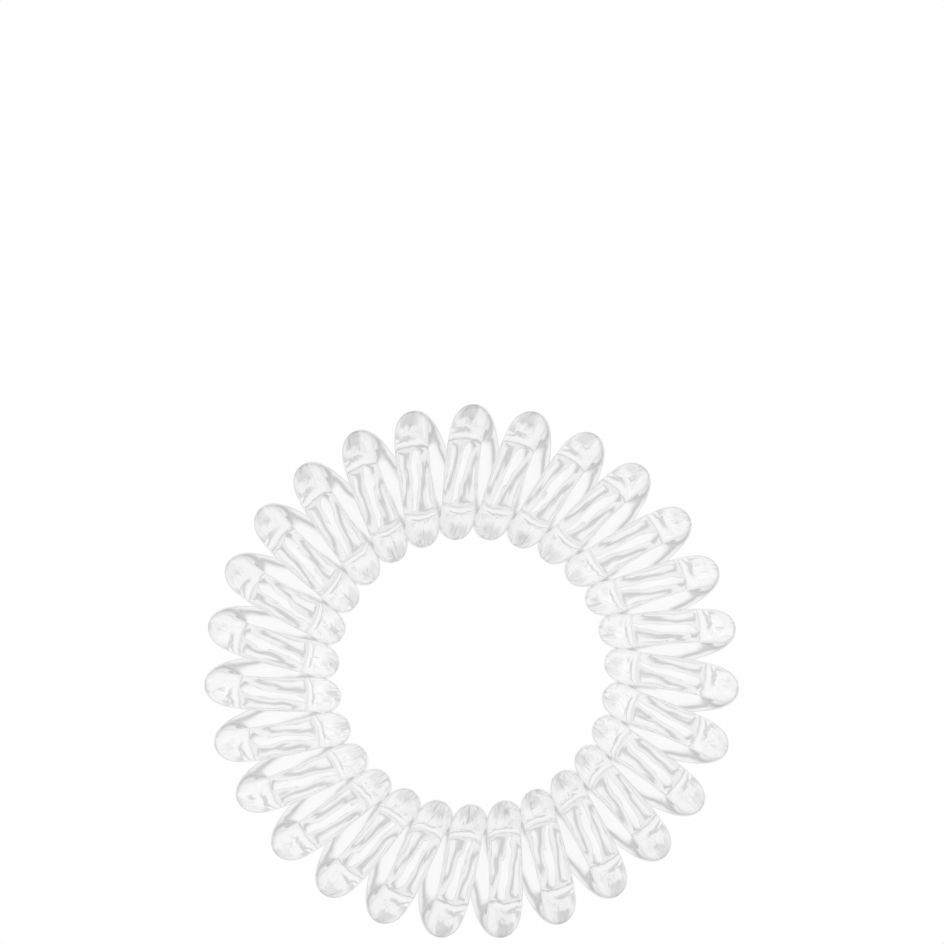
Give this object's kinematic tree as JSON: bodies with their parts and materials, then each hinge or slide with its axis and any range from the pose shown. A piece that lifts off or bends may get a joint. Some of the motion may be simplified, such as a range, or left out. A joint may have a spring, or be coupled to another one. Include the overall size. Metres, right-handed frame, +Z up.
{
  "type": "spiral hair tie",
  "caption": "Small spiral hair tie: one endless clear elastomer cord wound as a close coil that closes into a ring, with a round opening for a ponytail.",
  "frame": {"origin": "on the ring's axis, at the plane of the lowest points that the ring lies on", "axes": "+Z up along the ring's axis; +Y towards the outer tip of one turn; the ring lies flat in XY"},
  "size_m": [0.0382, 0.0381, 0.0083],
  "materials": {
    "clear_elastomer": "clear, colourless, glossy soft elastomer"
  },
  "bodies": {
    "root": {"coil": "clear_elastomer"}
  },
  "joints": []
}
